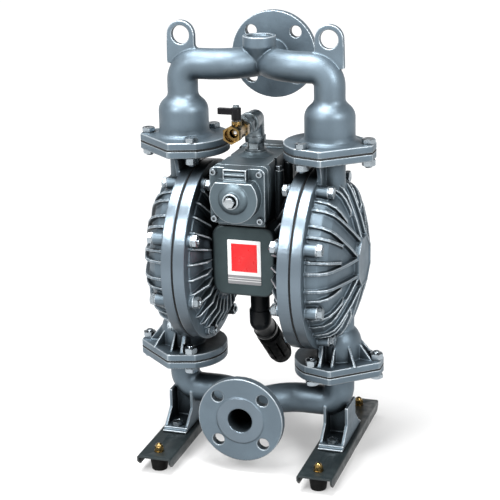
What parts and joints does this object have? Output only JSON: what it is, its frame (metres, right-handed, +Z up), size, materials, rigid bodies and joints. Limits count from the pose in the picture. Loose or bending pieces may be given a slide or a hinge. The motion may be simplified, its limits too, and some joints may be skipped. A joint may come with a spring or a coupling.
{
  "type": "air operated diaphragm pump",
  "caption": "Free-standing air operated double diaphragm pump with ribbed chambers, flanged manifolds, an air valve block, a silencer and rails on rubber feet.",
  "frame": {"origin": "on the floor, under the middle of the pump's axis", "axes": "+Z up, +X along the pump's axis from the left chamber to the right one, -Y to the front with the suction flange and the reset button"},
  "size_m": [0.4096, 0.314, 0.7074],
  "materials": {
    "cast_body": "silver paint on castings",
    "dark_casting": "silver-grey paint",
    "zinc_steel": "zinc plated",
    "yellow_zinc": "yellow passivated",
    "stainless": "turned",
    "bronze": "bored",
    "valve_brass": "forged and turned",
    "button_steel": "turned",
    "lever_plastic": "moulded",
    "exhaust_black": "moulded",
    "black_rubber": "matt",
    "gasket_sheet": "cut sheet",
    "rail_paint": "grey paint",
    "label_face": "printed plate, blank"
  },
  "bodies": {
    "pump": {"suction_manifold": "cast_body", "discharge_manifold": "cast_body", "outer_chamber_right": "cast_body", "outer_chamber_left": "cast_body", "inner_chamber_right": "cast_body", "inner_chamber_left": "cast_body", "centre_body": "dark_casting", "valve_chest": "dark_casting", "front_cap": "dark_casting", "rear_cap": "dark_casting", "suction_joint_bolts": "zinc_steel", "suction_joint_nuts": "zinc_steel", "discharge_joint_bolts": "zinc_steel", "discharge_joint_nuts": "zinc_steel", "clamp_bolts": "zinc_steel", "clamp_nuts": "zinc_steel", "tie_bolts": "zinc_steel", "cap_screws": "zinc_steel", "pad_bolts": "zinc_steel", "pad_nuts": "zinc_steel", "inlet_nipple": "zinc_steel", "valve_nipple": "zinc_steel", "inlet_elbow": "zinc_steel", "foot_nuts": "yellow_zinc", "suction_seat_right": "stainless", "suction_seat_left": "stainless", "discharge_seat_right": "stainless", "discharge_seat_left": "stainless", "rod_bush_right": "bronze", "rod_bush_left": "bronze", "valve_sleeve": "bronze", "valve_body": "valve_brass", "exhaust_elbow": "exhaust_black", "muffler": "exhaust_black", "rubber_feet": "black_rubber", "suction_joint_gaskets": "gasket_sheet", "discharge_joint_gaskets": "gasket_sheet", "chest_gasket": "gasket_sheet", "base_rail_right": "rail_paint", "base_rail_left": "rail_paint", "label_plate": "label_face"},
    "piston": {"centre_rod": "stainless", "inner_disc_right": "stainless", "inner_disc_left": "stainless", "outer_disc_right": "stainless", "outer_disc_left": "stainless", "diaphragm_right": "black_rubber", "diaphragm_left": "black_rubber"},
    "suction_ball_right": {"suction_ball_right": "black_rubber"},
    "suction_ball_left": {"suction_ball_left": "black_rubber"},
    "discharge_ball_right": {"discharge_ball_right": "black_rubber"},
    "discharge_ball_left": {"discharge_ball_left": "black_rubber"},
    "spool": {"valve_spool": "stainless"},
    "pilot_rod": {"pilot_rod": "stainless"},
    "reset_button": {"reset_button": "button_steel"},
    "valve_lever": {"valve_ball": "valve_brass", "valve_lever": "lever_plastic", "lever_nut": "zinc_steel"}
  },
  "joints": [
    {"name": "piston_stroke", "type": "slide", "parent": "pump", "child": "piston", "axis": [1, 0, 0], "range_m": [-0.022, 0.022], "deforming": ["diaphragm_right", "diaphragm_left"]},
    {"name": "suction_ball_right_lift", "type": "slide", "parent": "pump", "child": "suction_ball_right", "axis": [0, 0, 1], "range_m": [0, 0.016]},
    {"name": "suction_ball_left_lift", "type": "slide", "parent": "pump", "child": "suction_ball_left", "axis": [0, 0, 1], "range_m": [0, 0.016]},
    {"name": "discharge_ball_right_lift", "type": "slide", "parent": "pump", "child": "discharge_ball_right", "axis": [0, 0, 1], "range_m": [0, 0.016]},
    {"name": "discharge_ball_left_lift", "type": "slide", "parent": "pump", "child": "discharge_ball_left", "axis": [0, 0, 1], "range_m": [0, 0.016]},
    {"name": "spool_shift", "type": "slide", "parent": "pump", "child": "spool", "axis": [0, 1, 0], "range_m": [-0.007, 0.007]},
    {"name": "pilot_shift", "type": "slide", "parent": "pump", "child": "pilot_rod", "axis": [1, 0, 0], "range_m": [-0.004, 0.004]},
    {"name": "reset_press", "type": "slide", "parent": "pump", "child": "reset_button", "axis": [0, 1, 0], "range_m": [0, 0.005], "stiffness_N_per_m": 900, "springref_m": -0.002},
    {"name": "air_valve_turn", "type": "hinge", "parent": "pump", "child": "valve_lever", "pos_m": [0, -0.094, 0.555], "axis": [0, 0, 1], "range_deg": [0, 90]}
  ]
}
